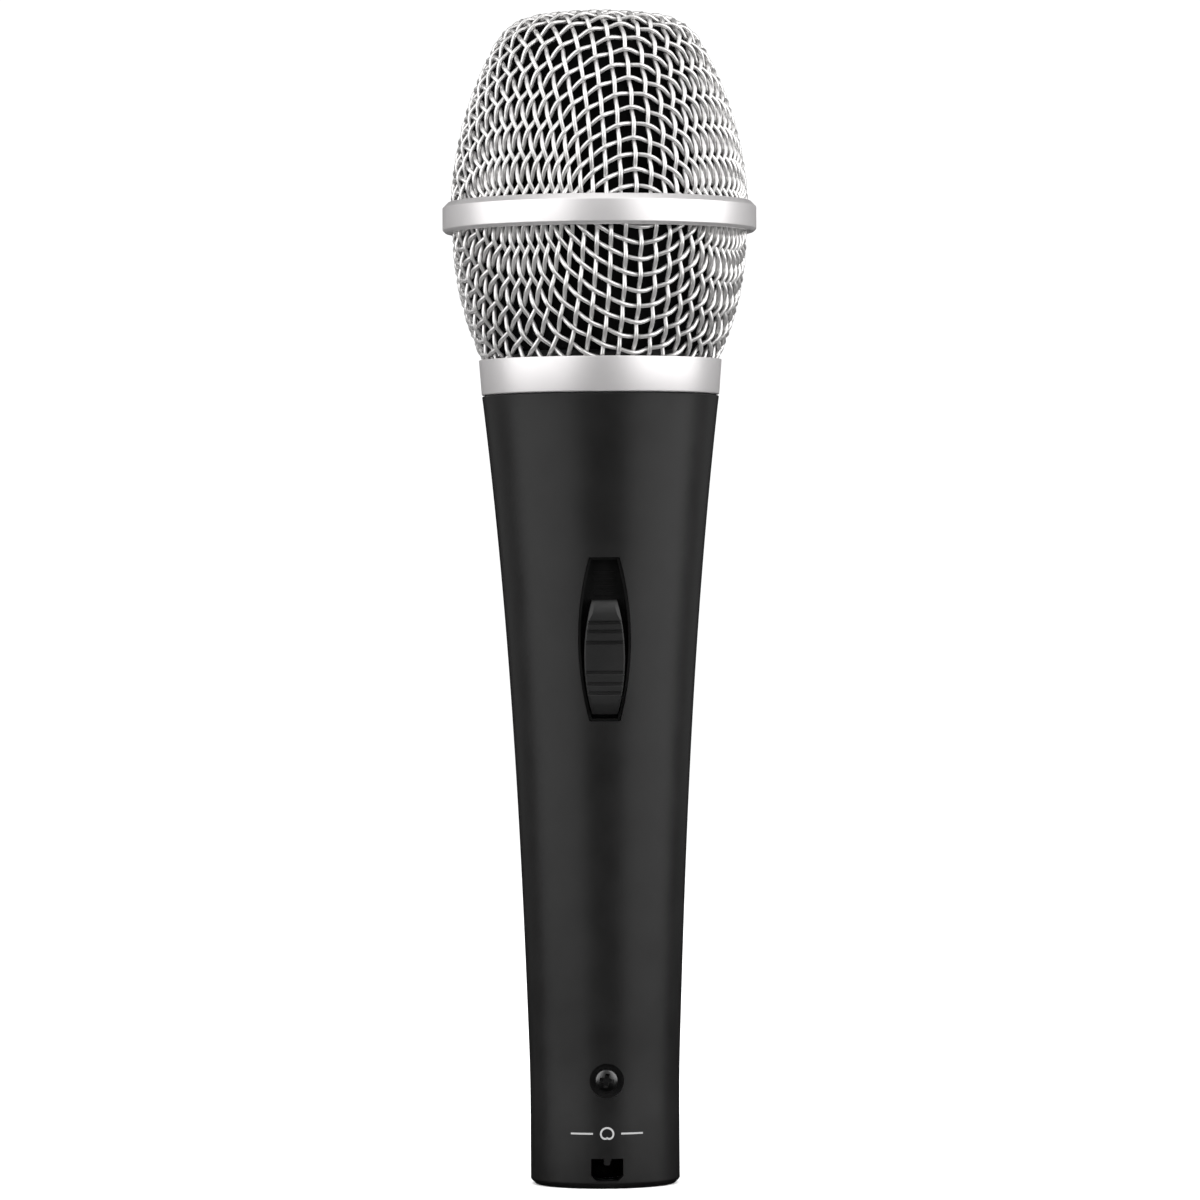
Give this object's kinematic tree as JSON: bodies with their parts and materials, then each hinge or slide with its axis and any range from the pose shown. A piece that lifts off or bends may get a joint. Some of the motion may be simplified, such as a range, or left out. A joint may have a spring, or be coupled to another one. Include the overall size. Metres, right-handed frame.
{
  "type": "dynamic microphone",
  "caption": "Handheld dynamic vocal microphone with a woven wire head over foam, a tapered handle with a slide switch, and a three-pin connector inlet.",
  "frame": {"origin": "centre of the connector end's face, on the microphone's long axis", "axes": "+Z along the long axis from the connector towards the head; -Y is the front, where the switch, the fixing screw and the latch window are; +X is to the right when the front is looked at"},
  "size_m": [0.0494, 0.0494, 0.184],
  "materials": {
    "handle_paint": "satin charcoal paint with a fine texture",
    "satin_nickel": "satin nickel plate, finely turned",
    "grille_wire": "bright nickel-plated round wire",
    "foam": "black open-cell foam",
    "black_plastic": "matt moulded plastic",
    "connector_plastic": "glass-filled moulded plastic",
    "slider_plastic": "fine-grained moulded plastic, worn on the steps",
    "contact_metal": "silver-plated contact metal",
    "gold_contact": "gold-flashed contact metal",
    "black_steel": "blackened screw steel",
    "zinc_screw": "zinc-plated screw steel",
    "lead_sleeve": "soft lead insulation",
    "lead_sleeve_yellow": "soft lead insulation",
    "circuit_board": "solder-masked glass-epoxy board",
    "switch_can": "tinned steel can",
    "ivory_plastic": "ivory nylon",
    "seal_rubber": "black rubber",
    "grey_plastic": "dark grey moulded plastic",
    "fibre_board": "phenolic paper board",
    "felt": "pressed wool felt",
    "magnet_metal": "ground magnet alloy",
    "pole_iron": "soft iron, zinc plated",
    "coil_wire": "enamelled copper winding",
    "diaphragm_film": "thin polyester film",
    "ring_brass": "turned brass",
    "gauze_cloth": "fine woven acoustic cloth",
    "cap_aluminium": "satin aluminium"
  },
  "bodies": {
    "handle": {"handle_shell": "handle_paint", "connector_insert": "connector_plastic", "connector_pins": "contact_metal", "connector_ground_spring": "gold_contact", "connector_screw": "black_steel", "connector_leads": "lead_sleeve", "switch_surround": "black_plastic", "switch_frame": "grey_plastic", "switch_body": "switch_can", "switch_contacts": "gold_contact", "switch_board": "circuit_board", "switch_screws": "zinc_screw", "capsule_shock_mount": "seal_rubber", "rear_chamber": "grey_plastic", "capsule_terminals": "fibre_board", "capsule_leads": "lead_sleeve_yellow", "rear_felt": "felt", "capsule_frame": "grey_plastic", "magnet_yoke": "pole_iron", "magnet": "magnet_metal", "pole_piece": "pole_iron", "magnet_top_plate": "pole_iron", "diaphragm_ring": "ring_brass", "capsule_gauze": "gauze_cloth", "capsule_cap": "cap_aluminium"},
    "switch": {"switch_slider": "slider_plastic", "switch_carriage": "black_plastic", "switch_knob": "ivory_plastic"},
    "seal": {"head_seal": "seal_rubber"},
    "head": {"grille_collar": "satin_nickel", "grille_lower": "grille_wire", "grille_band": "satin_nickel", "grille_upper": "grille_wire", "pop_foam": "foam"},
    "moving_coil": {"diaphragm": "diaphragm_film", "voice_coil": "coil_wire"}
  },
  "joints": [
    {"name": "switch_slide", "type": "slide", "parent": "handle", "child": "switch", "axis": [0, -0.0732, 0.9973], "range_m": [0, 0.006]},
    {"name": "head_lift", "type": "slide", "parent": "handle", "child": "seal", "axis": [0, 0, 1], "range_m": [0, 0.004]},
    {"name": "head_turn", "type": "hinge", "parent": "seal", "child": "head", "pos_m": [0, 0, 0.1235], "axis": [0, 0, 1], "range_deg": [0, 1440]},
    {"name": "coil_travel", "type": "slide", "parent": "handle", "child": "moving_coil", "axis": [0, 0, 1], "range_m": [-0.0004, 0.0004], "stiffness_N_per_m": 266}
  ],
  "couplings": [
    {"joint": "head_lift", "follows": "head_turn", "m_per_rad": 0.00015915}
  ]
}
